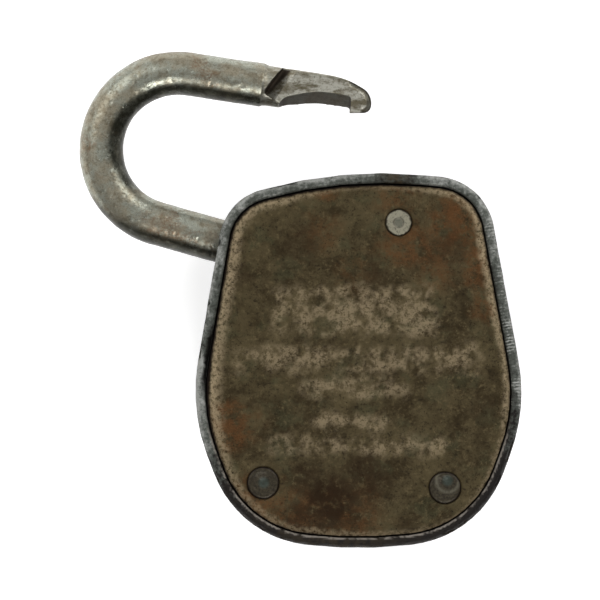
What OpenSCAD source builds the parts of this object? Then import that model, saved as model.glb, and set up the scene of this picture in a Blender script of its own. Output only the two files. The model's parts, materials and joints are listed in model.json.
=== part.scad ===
// Keyless padlock with a swinging shackle, lying on the flat face of its knob, back plate up.
// Origin: the dial's axis, on the knob's face. +Z points out of the back plate, +Y to the shackle.

/* [Case outline] */
// Half width at the waist corner, before it is rounded
waist_x = 28.2; // [26:0.1:34]
// Height of the waist corner
waist_y = -5; // [-8:0.5:-2]
// Rounding of the waist
waist_r = 29.4; // [20:0.1:32]
// Half width at the foot corner, before it is rounded
foot_x = 20.3; // [18:0.1:24]
// Height of the foot corner
foot_y = -26.5; // [-30:0.5:-25]
// Rounding of the foot
foot_r = 18.6; // [14:0.1:20]
// Lowest point of the bottom edge, before it is rounded
bottom_y = -28.9; // [-34:0.1:-28]
// Rounding of the bottom edge
bottom_r = 75; // [50:1:80]
// Right shoulder corner, across
right_shoulder_x = 21.2; // [20:0.1:26]
// Right shoulder corner, up
right_shoulder_y = 32.9; // [32:0.1:38]
// Rounding of the right shoulder
right_shoulder_r = 10; // [6:0.1:12]
// Left shoulder corner, across
left_shoulder_x = -22.2; // [-26:0.1:-20]
// Left shoulder corner, up
left_shoulder_y = 29.8; // [29:0.1:35]
// Rounding of the left shoulder
left_shoulder_r = 9.6; // [6:0.1:12]
// Crown of the top edge, across
crown_x = -2.8; // [-6:0.1:6]
// Crown of the top edge, up
crown_y = 35.2; // [34.5:0.1:41]
// Rounding of the crown
crown_r = 74; // [50:1:75]

/* [Case walls] */
// Depth of the case from its front face to its rim
case_depth = 19.6; // [18.5:0.1:26]
// Thickness of the front wall
front_t = 2.2; // [1.6:0.1:3]
// Thickness of the rim round the back plate
rim_t = 1.7; // [1.2:0.1:2.2]
// Width of the ledge that the back plate sits on
ledge_w = 0.9; // [0.6:0.1:1.4]
// Height of the ring round the dial
bezel_h = 1; // [0.5:0.1:1.2]
// Width of the ring round the dial
bezel_w = 1.8; // [1:0.1:2.5]

/* [Back plate] */
// Thickness of the back plate
plate_t = 1.6; // [1:0.1:2]
// Depth of the plate's face below the rim
plate_recess = 0.2; // [0:0.05:0.5]
// Gap between the plate's edge and the rim
plate_gap = 0.28; // [0.1:0.02:0.5]

/* [Rivets] */
// Left rivet, across and up
left_rivet_at = [-15.9, -17.5];
// Right rivet, across and up
right_rivet_at = [14.4, -18.3];
// Radius of the two lower rivets
rivet_r = 1.8; // [1.4:0.1:2.2]
// Radius of the lower rivets' heads
rivet_head_r = 2.65; // [2.3:0.05:3]
// Radius of the top rivet, which is the dog's pivot
dog_rivet_r = 1.6; // [1.3:0.1:2]
// Radius of the top rivet's head
dog_head_r = 2.2; // [1.9:0.05:2.6]
// Thickness of every rivet head
head_t = 0.9; // [0.6:0.1:1.2]
// Wall of the posts that the rivets go through
boss_wall = 1.6; // [1.2:0.1:2]

/* [Shackle] */
// Diameter of the shackle rod
rod_d = 7.3; // [6:0.1:8.8]
// Shackle pivot, across and up
pivot_at = [-12.6, 20];
// Distance from the pivot to the middle of the bow
heel_len = 22; // [18:0.5:27]
// Radius of the bow, to the middle of the rod
bow_r = 12.8; // [12:0.1:13]
// Lean of the toe leg away from the heel leg
splay = 7.2; // [6:0.1:8]
// Length of the toe leg from the bow to its tip
toe_len = 31; // [30:0.5:33]
// Angle that the shackle swings between shut and open
swing = 74.3; // [60:0.1:80]
// Radius of the eye at the heel
eye_r = 4.9; // [4.4:0.1:5.2]
// Thickness of the eye
eye_t = 6.4; // [5:0.1:6.5]
// Diameter of the pivot pin
pin_d = 5; // [4:0.1:6]

/* [Shackle toe] */
// Length of the plain round part of the toe leg
shank_len = 12.5; // [8:0.5:13]
// Depth that the shaped end of the toe is sunk below the rod's surface
toe_step = 0.2; // [0.18:0.01:0.3]
// Height of the flat above the middle of the rod
flat_z = 1.2; // [0.8:0.1:1.6]
// Where the groove in front of the flat starts, along the toe leg
groove_s = 13.2; // [13:0.1:14]
// Depth of the groove below the flat
groove_depth = 1.3; // [0.8:0.1:1.6]
// Slant of the groove across the toe leg
groove_turn = 28; // [20:1:32]
// Length of the hook at the tip
hook_len = 3.7; // [3:0.1:4.5]
// Depth that the hook is cut back from the rod's inner side
hook_back = 0.95; // [0.8:0.05:1.2]
// Lean of the pocket's floor
pocket_lean = 26; // [20:1:28]

/* [Dial] */
// Radius of the dial
dial_r = 18.5; // [16:0.1:20]
// Thickness of the dial
dial_t = 1.2; // [0.8:0.1:1.6]
// Gap between the dial and the case, filled by the bearing washer
dial_gap = 0.4; // [0.2:0.1:0.8]
// Radius of the knob
knob_r = 13; // [11:0.1:14]
// Height of the knob
knob_h = 7; // [5:0.1:10]
// Number of finger grooves round the knob
knob_grooves = 20; // [12:1:30]
// Diameter of the spindle
spindle_d = 5.2; // [4:0.1:6]
// Diameter of the pin that holds the knob on the spindle
knob_pin_d = 1.6; // [1:0.1:2]

/* [Wheel pack] */
// Radius of the tumbler wheels
wheel_r = 15; // [12:0.1:15.4]
// Thickness of a wheel's web
web_t = 0.8; // [0.6:0.1:1]
// Thickness of a wheel's rim
wheel_rim_t = 1; // [0.7:0.1:1.1]
// Wall of the post that the wheels turn on
post_wall = 1.55; // [1.2:0.05:2]
// Width of the wheels' hubs
hub_w = 1.7; // [1.2:0.1:2]
// Distance of the fly pins from the dial's axis
fly_pin_at = 8.5; // [8:0.1:9.5]
// Radius of the fly pins
fly_pin_r = 0.9; // [0.6:0.1:1.1]
// Thickness of the drive cam
cam_t = 1.8; // [1.2:0.1:2.4]
// Thickness of the thin washers
washer_t = 0.4; // [0.2:0.1:0.6]
// Thickness of the retaining clips
clip_t = 0.6; // [0.4:0.1:0.8]

/* [Locking dog] */
// Top rivet, across and up
dog_at = [6.7, 25.9];
// Angle that the dog swings between free and locked
dog_swing = 12; // [11:0.5:13]
// Thickness of the dog's lever
dog_t = 2.2; // [1.6:0.1:2.6]
// Direction from the dial's axis to the fence fingers when the dog is free
fence_angle = 112; // [110:1:114]
// Radius of a fence finger's tip
finger_r = 0.7; // [0.5:0.1:0.8]
// Thickness of a fence finger
finger_t = 0.8; // [0.6:0.1:1]
// Comb post, across and up when the dog is free
comb_at = [-1.5, 20.5];
// Radius of the comb post
comb_r = 2; // [1.6:0.1:2.2]
// Thickness of the dog spring's wire
wire_d = 0.6; // [0.4:0.1:0.7]

/* [Fits] */
// Radial clearance of a part that turns
run_gap = 0.05; // [0.02:0.01:0.1]
// Radial clearance of a pressed or riveted part
press_gap = 0.02; // [0:0.01:0.04]
// Clearance between parts that move past each other
pass_gap = 0.3; // [0.2:0.05:0.5]
// End play of the turning parts
end_play = 0.05; // [0.02:0.01:0.1]

/* [Hidden] */
$fn = 64;
arc_step = 6;

// Case, from the front face up
front_z = knob_h + dial_t + dial_gap;
floor_z = front_z + front_t;
rim_z = front_z + case_depth;
plate_top_z = rim_z - plate_recess;
seat_z = plate_top_z - plate_t;
wall_t = rim_t + ledge_w;

// Shackle, in its own frame: pivot at the origin, shut, heel leg along +Y
rod_r = rod_d / 2;
rod_z = front_z + case_depth / 2;
dog_z = rod_z + rod_r + 2 * pass_gap;
joint_lap = 0.1;
joint_step = 0.02;
toe_dir = [sin(splay), -cos(splay)];
toe_out = [cos(splay), sin(splay)];
toe_start = [bow_r, heel_len] + bow_r * toe_out;
hook_s = toe_len - hook_len;
hook_taper_s = 5;
hook_taper = [3.3, 1.3];
hook_slant = 0.7;
groove_w = 2.5;
groove_foot = 0.5;
groove_end = 1.2;
pocket_s = groove_s + 1;
pocket_rise = 1.7;
pocket_top = [0.35, 0.25];
slot_start = eye_r + 1.6;
slot_reach = heel_len + 2;
toe_slot_turn = 44;

// Wheel pack, from the floor up
spindle_r = spindle_d / 2;
post_r = spindle_r + run_gap + post_wall;
post_end = 0.5;
end_room = 0.8;
top_stack = clip_t + post_end + 2 * end_play + cam_t + washer_t + clip_t + post_end + end_room;
finger_room = finger_t + 2 * pass_gap;
pack_top = min(seat_z - top_stack + finger_room, dog_z);
pitch = (pack_top - floor_z - washer_t) / 3;
wheel_h = pitch - finger_room;
hub_r = post_r + run_gap + hub_w;
post_top = wheel_z(3) + wheel_h + end_play + clip_t + post_end;
cam_z = post_top + end_play;
cam_r = fly_pin_at + fly_pin_r + 0.8;
clip_z = cam_z + cam_t + washer_t;
spindle_top = clip_z + clip_t + post_end;
pin_reach = pitch - web_t - 2 * pass_gap;
clip_groove = 0.6;
clip_w = 2;
washer_w = 1.4;

// Dial, knob and rivets
knob_face_t = 1.4;
knob_bevel = 0.8;
groove_r = 1.3;
groove_out = 0.7;
dial_lip_w = 0.5;
dial_lip_h = 0.2;
lip_gap = 0.1;
dish_r = 7;
dish_depth = 0.3;
eyelet_r = 0.9;
eyelet_depth = 0.15;

// Locking dog
finger_free = wheel_r + finger_r + 0.4;
finger_at = finger_free * [cos(fence_angle), sin(fence_angle)];
nose_z = rod_z + 0.2;
nose_gap = pass_gap + 0.05;
nose_len = 2.1;
nose_w = 4.6;
nose_root = 0.3;
lever_r = comb_r + 0.8;
spring_r = dog_rivet_r + run_gap + wire_d / 2 + 0.25;
spring_rise = wire_d + 0.05;
spring_room = seat_z - dog_z - dog_t - wire_d - 2 * end_play;
spring_turn = 15 * floor(24 * spring_room / spring_rise);
spring_leg = 4.5;

// Each corner of the case: across, up, rounding
CASE_CORNERS = [
    [right_shoulder_x, right_shoulder_y, right_shoulder_r],
    [crown_x, crown_y, crown_r],
    [left_shoulder_x, left_shoulder_y, left_shoulder_r],
    [-waist_x, waist_y, waist_r],
    [-foot_x, foot_y, foot_r],
    [0, bottom_y, bottom_r],
    [foot_x, foot_y, foot_r],
    [waist_x, waist_y, waist_r]
];

function wheel_z(i) = floor_z + washer_t + (i - 1) * pitch;

function unit(v) = v / norm(v);

function turned(v, a) = [v[0] * cos(a) - v[1] * sin(a), v[0] * sin(a) + v[1] * cos(a)];

// A point of the shut toe leg, s along it and n out from its middle
function toe_point(s, n) = toe_start + s * toe_dir + n * toe_out;

// The arc that rounds one corner of an outline, moved inwards
function corner_arc(before, at, after, r, inset) =
    let (
        u = unit(before - at),
        w = unit(after - at),
        half = acos(u * w) / 2,
        centre = at + unit(u + w) * r / sin(half),
        start = at + u * r / tan(half) - centre,
        stop = at + w * r / tan(half) - centre,
        a0 = atan2(start[1], start[0]),
        turn = (atan2(stop[1], stop[0]) - a0 + 540) % 360 - 180,
        steps = max(1, ceil(abs(turn) / arc_step))
    )
    [for (k = [0:steps]) let (a = a0 + turn * k / steps) centre + (r - inset) * [cos(a), sin(a)]];

// An outline with rounded corners, each [across, up, rounding]
function rounded(corners, inset = 0) =
    let (n = len(corners), xy = [for (c = corners) [c[0], c[1]]])
    [for (i = [0:n - 1])
        each corner_arc(xy[(i + n - 1) % n], xy[i], xy[(i + 1) % n], corners[i][2], inset)];

// A bar with round ends, from a to b
function bar(a, b, r) =
    let (dir = atan2(b[1] - a[1], b[0] - a[0]))
    concat(
        [for (t = [90:15:270]) a + r * [cos(dir + t), sin(dir + t)]],
        [for (t = [-90:15:90]) b + r * [cos(dir + t), sin(dir + t)]]);

module slab(points, z0, z1) {
    translate([0, 0, z0])
        linear_extrude(z1 - z0)
            polygon(points);
}

module disc(at, r, z0, z1) {
    translate([at[0], at[1], z0])
        cylinder(r = r, h = z1 - z0);
}

module ring(r0, r1, z0, z1) {
    difference() {
        disc([0, 0], r1, z0, z1);
        disc([0, 0], r0, z0 - 1, z1 + 1);
    }
}

// An open retaining ring that sits in a groove of depth clip_groove
module clip(shaft_r, z) {
    translate([0, 0, z])
        rotate([0, 0, 30])
            rotate_extrude(angle = 300)
                translate([shaft_r - clip_groove + press_gap, 0])
                    square([clip_w, clip_t]);
}

// A round wire swept along a path that stays close to level
module wire(path, r, sides = 8) {
    n = len(path);
    points = [for (i = [0:n - 1])
        let (
            along = unit(path[min(i + 1, n - 1)] - path[max(i - 1, 0)]),
            side = unit(cross(along, [0, 0, 1])),
            up = cross(side, along)
        )
        for (k = [0:sides - 1])
            path[i] + r * (cos(360 * k / sides) * side + sin(360 * k / sides) * up)];
    walls = [for (i = [0:n - 2]) for (k = [0:sides - 1])
        [i * sides + k, i * sides + (k + 1) % sides,
            (i + 1) * sides + (k + 1) % sides, (i + 1) * sides + k]];
    caps = [[for (k = [sides - 1:-1:0]) k], [for (k = [0:sides - 1]) (n - 1) * sides + k]];
    polyhedron(points, concat(walls, caps));
}

// The space in the left shoulder that the heel leg swings through
module heel_slot() {
    half = rod_r + pass_gap;
    open_a = 90 + swing;
    open_side = half * turned([0, 1], open_a);
    edge = concat(
        [slot_start * turned([1, 0], open_a) + open_side],
        [slot_reach * turned([1, 0], open_a) + open_side],
        [for (a = [open_a:-arc_step:90]) slot_reach * turned([1, 0], a)],
        [[half, slot_reach], [half, slot_start]]);
    translate([pivot_at[0], pivot_at[1], rod_z - half])
        linear_extrude(2 * half)
            polygon(edge);
}

// The space in the right shoulder that the toe swings through
module toe_slot() {
    half = rod_r + pass_gap;
    wall_s = (pivot_at[1] + toe_start[1] - crown_y) / cos(splay);
    r0 = norm(toe_point(pocket_s, -rod_r)) - 2 * pass_gap;
    r1 = norm(toe_point(wall_s, rod_r)) + 2 * pass_gap;
    inside = crown_y - 3 * wall_t - pivot_at[1];
    translate([pivot_at[0], pivot_at[1], rod_z - half])
        rotate([0, 0, asin(inside / r1)])
            rotate_extrude(angle = toe_slot_turn)
                translate([r0, 0])
                    square([r1 - r0, 2 * half]);
}

module case() {
    color("slategray")
        difference() {
            union() {
                difference() {
                    slab(rounded(CASE_CORNERS), front_z, rim_z);
                    slab(rounded(CASE_CORNERS, wall_t), floor_z, rim_z + 1);
                    slab(rounded(CASE_CORNERS, rim_t), seat_z, rim_z + 1);
                }
                translate([0, 0, front_z - bezel_h])
                    ring(dial_r + pass_gap, dial_r + pass_gap + bezel_w, 0, bezel_h + 0.5);
                for (at = [left_rivet_at, right_rivet_at])
                    disc(at, rivet_r + boss_wall, floor_z - 0.5, seat_z);
                disc(dog_at, dog_rivet_r + boss_wall, floor_z - 0.5, dog_z - end_play);
                disc(pivot_at, pin_d / 2 + boss_wall, floor_z - 0.5, rod_z - eye_t / 2 - end_play);
            }
            heel_slot();
            toe_slot();
            for (at = [left_rivet_at, right_rivet_at]) {
                disc(at, rivet_r + press_gap, front_z - 1, rim_z);
                disc(at, rivet_head_r + press_gap, front_z - 1, front_z + head_t);
            }
            disc(dog_at, dog_rivet_r + press_gap, floor_z, rim_z);
            disc(pivot_at, pin_d / 2 + press_gap, floor_z, rim_z);
            disc([0, 0], post_r + press_gap, front_z - 2, rim_z);
        }
}

module back_plate() {
    color("darkolivegreen")
        difference() {
            slab(rounded(CASE_CORNERS, rim_t + plate_gap), seat_z, plate_top_z);
            for (at = [left_rivet_at, right_rivet_at]) {
                disc(at, rivet_r + press_gap, seat_z - 1, rim_z);
                disc(at, rivet_head_r + press_gap, plate_top_z - head_t, rim_z);
            }
            disc(dog_at, dog_rivet_r + press_gap, seat_z - 1, rim_z);
            disc(dog_at, dog_head_r + press_gap, plate_top_z - head_t, rim_z);
        }
}

// A rivet through the whole case, with a flush head at each end
module case_rivet(at) {
    color("gray")
        difference() {
            union() {
                disc(at, rivet_r, front_z + 0.1, plate_top_z);
                disc(at, rivet_head_r, front_z + 0.1, front_z + head_t);
                disc(at, rivet_head_r, plate_top_z - head_t, plate_top_z);
            }
            translate([at[0], at[1], plate_top_z + dish_r - dish_depth])
                sphere(r = dish_r, $fn = 96);
        }
}

module top_rivet() {
    color("lightgray")
        difference() {
            union() {
                disc(dog_at, dog_rivet_r, floor_z + 0.2, plate_top_z);
                disc(dog_at, dog_head_r, plate_top_z - head_t, plate_top_z);
            }
            disc(dog_at, eyelet_r, plate_top_z - eyelet_depth, rim_z);
        }
}

// The round rod of the shackle, shut, with its toe leg cut to length
module rod() {
    translate([bow_r, heel_len, 0])
        rotate([0, 0, splay]) {
            rotate_extrude(angle = 180 - splay)
                translate([bow_r, 0])
                    circle(r = rod_r);
            rotate([0, 0, 180 - splay])
                translate([bow_r, 0, 0])
                    rotate([-90, 0, 0])
                        translate([0, 0, -joint_lap])
                            cylinder(r = rod_r - joint_step, h = heel_len + joint_lap);
            translate([bow_r, 0, 0])
                rotate([0, 0, -90])
                    toe();
        }
}

// The space above the flat on the toe, with an undercut groove where it starts
module flat_cut() {
    profile = [
        [0, rod_d],
        [groove_foot, flat_z - groove_depth],
        [groove_w, flat_z],
        [toe_len, flat_z],
        [toe_len, rod_d]
    ];
    translate([groove_s, 0, 0])
        rotate([90, 0, -groove_turn])
            translate([0, 0, -toe_len])
                linear_extrude(toe_len + groove_end)
                    polygon(profile);
}

// The toe leg along +X, its outer side towards +Y
module toe() {
    far = rod_r + 1;
    hook_side = hook_back - rod_r;
    end_shape = rounded([
        [-1, far - 0.5, 0.2],
        [-1, -far, 0.2],
        [hook_s - 0.6, -far, 0.2],
        [hook_s - 0.6, hook_side, 0.2],
        [toe_len, hook_side + hook_slant, 1.4],
        [toe_len, hook_taper[1], 3],
        [toe_len - hook_taper_s, hook_taper[0], 12]
    ]);
    pocket = rounded([
        [pocket_s, -far - 2, 0.2],
        [pocket_s + 2, pocket_top[0] - pocket_rise, 2],
        [hook_s - 5.5, pocket_top[0], 12],
        [hook_s, pocket_top[1], 0.4],
        [hook_s + 0.5, -far - 2, 0.2]
    ]);
    difference() {
        intersection() {
            rotate([0, 90, 0]) {
                cylinder(r = rod_r, h = shank_len);
                cylinder(r = rod_r - toe_step, h = toe_len + 1);
            }
            translate([0, 0, -far])
                linear_extrude(2 * far)
                    polygon(end_shape);
        }
        flat_cut();
        translate([0, 0, flat_z])
            rotate([-pocket_lean, 0, 0])
                translate([0, 0, -2 * rod_d])
                    linear_extrude(4 * rod_d)
                        polygon(pocket);
    }
}

module shackle() {
    color("dimgray")
        translate([pivot_at[0], pivot_at[1], rod_z])
            rotate([0, 0, swing])
                difference() {
                    union() {
                        rod();
                        translate([0, 0, -eye_t / 2])
                            cylinder(r = eye_r, h = eye_t);
                    }
                    for (side = [0, 1])
                        mirror([0, 0, side])
                            translate([-rod_d, -rod_d, eye_t / 2])
                                cube([2 * rod_d, rod_d + eye_r + 0.8, rod_d]);
                    translate([0, 0, -rod_d])
                        cylinder(r = pin_d / 2 + run_gap, h = 2 * rod_d);
                }
}

module pivot_pin() {
    color("silver")
        disc(pivot_at, pin_d / 2, floor_z + 0.1, seat_z - 0.05);
}

module pivot_collar() {
    color("gray")
        difference() {
            disc(pivot_at, pin_d / 2 + boss_wall, rod_z + eye_t / 2 + end_play, seat_z - 0.02);
            disc(pivot_at, pin_d / 2 + press_gap, floor_z, rim_z);
        }
}

module dial() {
    color("black")
        difference() {
            union() {
                disc([0, 0], dial_r, knob_h, knob_h + dial_t);
                disc([0, 0], knob_r + lip_gap + dial_lip_w, knob_h - dial_lip_h, knob_h + dial_t);
            }
            disc([0, 0], spindle_r + press_gap, knob_h - 1, front_z);
            disc([0, 0], knob_r + lip_gap, knob_h - 1, knob_h);
        }
}

module dial_knob() {
    color("dimgray")
        difference() {
            union() {
                cylinder(r1 = knob_r - knob_bevel, r2 = knob_r, h = knob_bevel);
                disc([0, 0], knob_r, knob_bevel, knob_h);
            }
            for (i = [0:knob_grooves - 1])
                rotate([0, 0, 360 * (i + 0.5) / knob_grooves])
                    disc([knob_r + groove_out, 0], groove_r, -1, knob_h - knob_bevel);
            disc([0, 0], spindle_r + press_gap, knob_face_t, knob_h + 1);
            translate([-knob_r - 1, 0, knob_h / 2])
                rotate([0, 90, 0])
                    cylinder(r = knob_pin_d / 2 + press_gap, h = 2 * knob_r + 2);
        }
}

module knob_pin() {
    color("silver")
        translate([-knob_r + 1, 0, knob_h / 2])
            rotate([0, 90, 0])
                cylinder(r = knob_pin_d / 2, h = 2 * knob_r - 2);
}

module dial_washer() {
    color("goldenrod")
        ring(spindle_r + 2 * run_gap, spindle_r + washer_w, knob_h + dial_t + end_play,
            front_z + 0.15);
}

module spindle() {
    color("silver")
        difference() {
            disc([0, 0], spindle_r, knob_face_t + 0.1, spindle_top);
            ring(spindle_r - clip_groove, spindle_r + 1, clip_z, clip_z + clip_t + end_play);
            translate([-knob_r, 0, knob_h / 2])
                rotate([0, 90, 0])
                    cylinder(r = knob_pin_d / 2 + press_gap, h = 2 * knob_r);
        }
}

module wheel_post() {
    color("goldenrod")
        difference() {
            ring(spindle_r + run_gap, post_r, front_z + 0.2, post_top);
            ring(post_r - clip_groove, post_r + 1, post_top - post_end - clip_t - end_play,
                post_top - post_end);
        }
}

module base_washer() {
    color("goldenrod")
        ring(post_r + press_gap, hub_r, floor_z, floor_z + washer_t - end_play);
}

// A cup-shaped tumbler wheel: web, hub and a rim with one gate
module wheel(i) {
    z = wheel_z(i);
    finger_locked = dog_at + turned(finger_at - dog_at, dog_swing);
    color("goldenrod")
        difference() {
            union() {
                ring(post_r + run_gap, wheel_r, z, z + web_t);
                ring(post_r + run_gap, hub_r, z, z + wheel_h);
                ring(wheel_r - wheel_rim_t, wheel_r, z, z + wheel_h);
            }
            slab(bar(finger_at, finger_locked, finger_r + pass_gap), z + web_t, z + pitch);
            disc(fly_place(i), fly_pin_r + press_gap, z - 1, z + pitch);
        }
}

// Neighbouring fly pins stand on opposite sides of the axis
function fly_place(i) = fly_pin_at * turned([1, 0], 200 - 180 * (i % 2));

module fly_pin(i) {
    z0 = i == 1 ? wheel_z(i) : wheel_z(i) - pin_reach;
    color("silver")
        disc(fly_place(i), fly_pin_r, z0, wheel_z(i) + web_t + pin_reach);
}

module spacer(i) {
    color("silver")
        ring(post_r + press_gap, hub_r, wheel_z(i) + wheel_h + end_play, wheel_z(i + 1) - end_play);
}

module post_clip() {
    color("silver")
        clip(post_r, post_top - post_end - clip_t);
}

module drive_cam() {
    color("goldenrod")
        difference() {
            ring(spindle_r + press_gap, cam_r, cam_z, cam_z + cam_t);
            disc(fly_place(4), fly_pin_r + press_gap, cam_z - 1, cam_z + cam_t + 1);
        }
}

module cam_pin() {
    color("silver")
        disc(fly_place(4), fly_pin_r, cam_z - pin_reach, cam_z + cam_t);
}

module cam_washer() {
    color("silver")
        ring(spindle_r + press_gap, spindle_r + washer_w, cam_z + cam_t, clip_z);
}

module spindle_clip() {
    color("silver")
        clip(spindle_r, clip_z);
}

// The dog's lever and its nose, which catches the hook when the dog is turned to locked
module locking_dog() {
    nose_end = pivot_at + toe_point(hook_s - nose_gap, -2 * nose_gap);
    nose_top = pivot_at + toe_point(hook_s - nose_gap - nose_len, -2 * nose_gap);
    root = nose_end + nose_root * (dog_at - nose_end);
    nose = [nose_end, nose_top, root + [1.1, 1.8], root + [-1.6, 0.6], nose_end - [nose_w, 0.3]];
    free_nose = [for (p = nose) dog_at + turned(p - dog_at, -dog_swing)];
    nose_arm = dog_at + turned(root - dog_at, -dog_swing);
    color("gray")
        difference() {
            union() {
                slab(bar(dog_at, comb_at, lever_r), dog_z, dog_z + dog_t);
                slab(bar(dog_at, nose_arm, lever_r - 0.2), dog_z, dog_z + dog_t);
                slab(free_nose, nose_z, dog_z + dog_t);
            }
            disc(dog_at, dog_rivet_r + run_gap, floor_z, rim_z);
            disc(comb_at, comb_r / 2 + press_gap, floor_z, rim_z);
        }
}

// The comb's post with one finger over each wheel
module fence_comb() {
    color("gray") {
        disc(comb_at, comb_r, wheel_z(1) + wheel_h + pass_gap, dog_z);
        disc(comb_at, comb_r / 2, dog_z - 0.5, dog_z + dog_t);
        for (i = [1:3]) {
            arm_z = wheel_z(i) + wheel_h + pass_gap;
            slab(bar(comb_at, finger_at, finger_r + 0.4), arm_z, arm_z + finger_t);
            disc(finger_at, finger_r, wheel_z(i) + web_t + pass_gap, arm_z + 0.2);
        }
    }
}

// Wire wound round the top rivet, with one leg along the dog's lever and one towards the shoulder
module dog_spring() {
    z0 = dog_z + dog_t + wire_d / 2 + end_play / 2;
    lever = comb_at - dog_at;
    a0 = atan2(lever[1], lever[0]) + 90;
    coil = [for (a = [0:15:spring_turn])
        [dog_at[0] + spring_r * cos(a0 + a), dog_at[1] + spring_r * sin(a0 + a),
            z0 + spring_rise * a / 360]];
    stop = a0 + spring_turn + 90;
    path = concat(
        [coil[0] + spring_leg * [sin(a0), -cos(a0), 0]],
        coil,
        [coil[len(coil) - 1] + spring_leg * [cos(stop), sin(stop), 0]]);
    color("silver")
        wire(path, wire_d / 2);
}

case();
back_plate();
top_rivet();
case_rivet(left_rivet_at);  // left_rivet
case_rivet(right_rivet_at);  // right_rivet
shackle();
pivot_pin();
pivot_collar();
dial();
dial_knob();
knob_pin();
dial_washer();
spindle();
wheel_post();
base_washer();
wheel(1);  // wheel_1
wheel(2);  // wheel_2
wheel(3);  // wheel_3
fly_pin(1);  // fly_pin_1
fly_pin(2);  // fly_pin_2
fly_pin(3);  // fly_pin_3
spacer(1);  // spacer_1
spacer(2);  // spacer_2
post_clip();
drive_cam();
cam_pin();
cam_washer();
spindle_clip();
locking_dog();
fence_comb();
dog_spring();
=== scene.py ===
"""A worn keyless padlock that lies on its dial, back plate up, with its shackle swung open."""

import json
import math

import bpy
import numpy as np
from mathutils import Matrix, Vector, noise

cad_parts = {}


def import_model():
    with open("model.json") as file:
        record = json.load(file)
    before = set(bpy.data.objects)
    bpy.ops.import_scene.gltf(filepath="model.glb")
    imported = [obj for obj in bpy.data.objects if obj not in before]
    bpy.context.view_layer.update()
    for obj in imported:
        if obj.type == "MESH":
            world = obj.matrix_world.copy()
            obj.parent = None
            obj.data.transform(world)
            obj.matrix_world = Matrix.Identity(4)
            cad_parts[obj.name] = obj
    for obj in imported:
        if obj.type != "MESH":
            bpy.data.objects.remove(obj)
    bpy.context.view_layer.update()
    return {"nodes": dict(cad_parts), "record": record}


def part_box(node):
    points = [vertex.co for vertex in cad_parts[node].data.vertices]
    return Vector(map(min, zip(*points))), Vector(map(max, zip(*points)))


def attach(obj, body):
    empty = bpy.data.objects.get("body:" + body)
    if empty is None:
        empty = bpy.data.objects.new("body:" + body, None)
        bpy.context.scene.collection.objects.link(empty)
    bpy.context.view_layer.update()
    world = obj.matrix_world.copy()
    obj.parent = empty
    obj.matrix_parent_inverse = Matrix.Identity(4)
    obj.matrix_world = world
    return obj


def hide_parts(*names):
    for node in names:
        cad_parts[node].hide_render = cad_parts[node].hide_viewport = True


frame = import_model()

# Sizes below are in millimetres, and MM turns them into the frame's metres
MM = 0.001
NODES = frame["nodes"]
MOUNTS = {m["name"]: m for m in frame["record"]["mounts"]}


def low(node):
    """The lowest corner of a CAD node, in mm."""
    return np.array(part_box(node)[0]) / MM


def high(node):
    """The highest corner of a CAD node, in mm."""
    return np.array(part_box(node)[1]) / MM


def middle(node):
    """The middle of a CAD node, in mm."""
    return (low(node) + high(node)) / 2


RIM_Z = high("case")[2]
PLATE_Z = high("back_plate")[2]
# The space between the back plate's edge and the case's rim
PLATE_GAP = 0.28
RIVETS = ("top_rivet", "left_rivet", "right_rivet")


# ---------------------------------------------------------------- numbers and fields


def smooth(x, start, stop):
    """0 before start, 1 after stop, and an even curve between them."""
    t = np.clip((x - start) / (stop - start), 0, 1)
    return t * t * (3 - 2 * t)


def bump(x, at, width):
    """A soft hump of height 1 round at."""
    return np.exp(-(((x - at) / width) ** 2))


def radius_from(points, centre=(0, 0)):
    """How far each point lies from an upright line through centre, in mm."""
    return np.hypot(*(points[:, :2] - centre).T)


def angle_of(points):
    """The angle of each point round the dial's axis, in degrees, from -180 to 180."""
    return np.degrees(np.arctan2(points[:, 1], points[:, 0]))


def head_radius(rivet):
    """The radius of a rivet's head, in mm."""
    return (high(rivet) - low(rivet))[0] / 2


def lumps(points, size, octaves, seed):
    """Fractal noise from about -1 to 1, with lumps about size mm across."""
    shift = np.array([seed * 7.3, seed * 3.1, seed * 5.7])
    scaled = (points / size + shift).tolist()
    return np.array([noise.fractal(p, 0.8, 2.1, octaves) for p in scaled])


# The plate's outline is kept as points this far apart
OUTLINE_STEP = 0.2
# Points of the plate this near to a rivet's axis belong to its hole, not to the outline
HOLE_REACH = 3.2
# How many points edge_field compares with the outline at a time, to keep its tables small
BATCH = 8192


def plate_outline():
    """Points in order along the back plate's outline, their outward normals, and their places."""
    coords = np.array([v.co for v in NODES["back_plate"].data.vertices]) / MM
    top = coords[np.abs(coords[:, 2] - PLATE_Z) < 0.01][:, :2]
    for rivet in RIVETS:
        top = top[radius_from(top, middle(rivet)[:2]) > HOLE_REACH]
    top = top[np.argsort(np.arctan2(top[:, 1], top[:, 0]))]
    loop = np.vstack([top, top[:1]])
    steps = np.hypot(*np.diff(loop, axis=0).T)
    along = np.concatenate([[0], np.cumsum(steps)])
    even = np.arange(0, along[-1], OUTLINE_STEP)
    points = np.stack([np.interp(even, along, loop[:, k]) for k in (0, 1)], 1)
    ahead = np.roll(points, -2, 0) - np.roll(points, 2, 0)
    normals = np.stack([ahead[:, 1], -ahead[:, 0]], 1) / np.hypot(*ahead.T)[:, None]
    return points, normals, even


OUTLINE, OUTLINE_NORMALS, OUTLINE_ALONG = plate_outline()


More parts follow.
